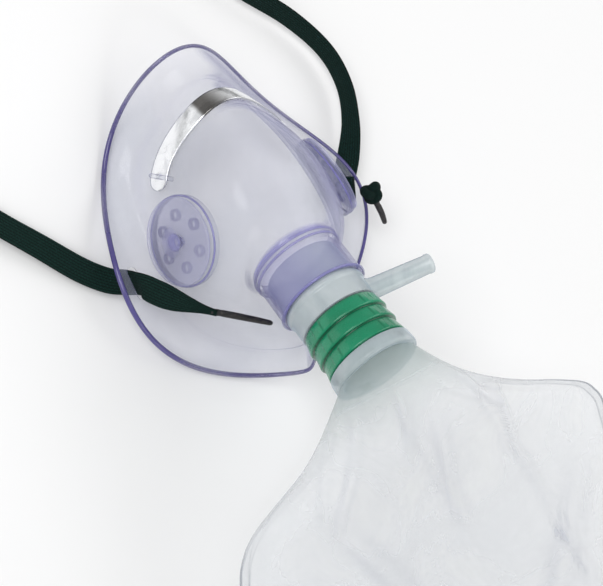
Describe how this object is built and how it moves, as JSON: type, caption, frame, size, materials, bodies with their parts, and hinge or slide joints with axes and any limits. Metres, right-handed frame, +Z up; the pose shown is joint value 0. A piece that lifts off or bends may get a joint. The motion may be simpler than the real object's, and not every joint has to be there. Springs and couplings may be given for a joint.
{
  "type": "non-rebreather oxygen mask",
  "caption": "Clear face mask with a swivelling connector, a green collar, a side oxygen nozzle, exhalation valves, an elastic head strap and a flat reservoir bag.",
  "frame": {"origin": "on the table, at the middle of the mask and bag together, measured without the strap", "axes": "+Y from the bag and chin towards the nose, +X towards the oxygen nozzle's side, +Z up from the table the mask lies face down on"},
  "size_m": [0.1788, 0.459, 0.0781],
  "materials": {
    "clear_vinyl": "clear soft vinyl with a violet tint",
    "aluminium": "bright rolled strip",
    "clear_silicone": "translucent soft disc",
    "milky_plastic": "milky translucent moulding",
    "green_plastic": "glossy green moulding",
    "bag_film": "frosted translucent film",
    "green_elastic": "knitted flat elastic",
    "black_plastic": "shrunk sleeve"
  },
  "bodies": {
    "mask": {"mask_shell": "clear_vinyl", "nose_clip": "aluminium", "strap": "green_elastic", "strap_knot": "green_elastic", "left_aglet": "black_plastic", "right_aglet": "black_plastic"},
    "connector": {"adapter": "milky_plastic", "bag_cuff": "milky_plastic", "inhalation_seat": "milky_plastic"},
    "collar": {"lock_ring": "green_plastic"},
    "bag": {"reservoir_bag": "bag_film"},
    "left_valve": {"left_exhalation_disc": "clear_silicone"},
    "right_valve": {"right_exhalation_disc": "clear_silicone"},
    "inhalation_valve": {"inhalation_disc": "clear_silicone"}
  },
  "joints": [
    {"name": "connector_swivel", "type": "hinge", "parent": "mask", "child": "connector", "pos_m": [0.0026, 0.1215, 0.0359], "axis": [-0.0436, -0.8379, 0.5441], "range_deg": [-60, 240]},
    {"name": "collar_turn", "type": "hinge", "parent": "connector", "child": "collar", "pos_m": [0.00107, 0.09217, 0.05494], "axis": [-0.0436, -0.8379, 0.5441], "continuous": true},
    {"name": "bag_neck_bend", "type": "hinge", "parent": "connector", "child": "bag", "pos_m": [-0.00002, 0.07123, 0.06855], "axis": [-1, 0, 0], "range_deg": [0, 45]},
    {"name": "left_valve_lift", "type": "slide", "parent": "mask", "child": "left_valve", "axis": [-0.9295, 0.1999, 0.3098], "range_m": [0, 0.0009], "stiffness_N_per_m": 20},
    {"name": "right_valve_lift", "type": "slide", "parent": "mask", "child": "right_valve", "axis": [0.9295, 0.1999, 0.3098], "range_m": [0, 0.0009], "stiffness_N_per_m": 20},
    {"name": "inhalation_valve_lift", "type": "slide", "parent": "connector", "child": "inhalation_valve", "axis": [0.0436, 0.8379, -0.5441], "range_m": [0, 0.002], "stiffness_N_per_m": 20}
  ]
}
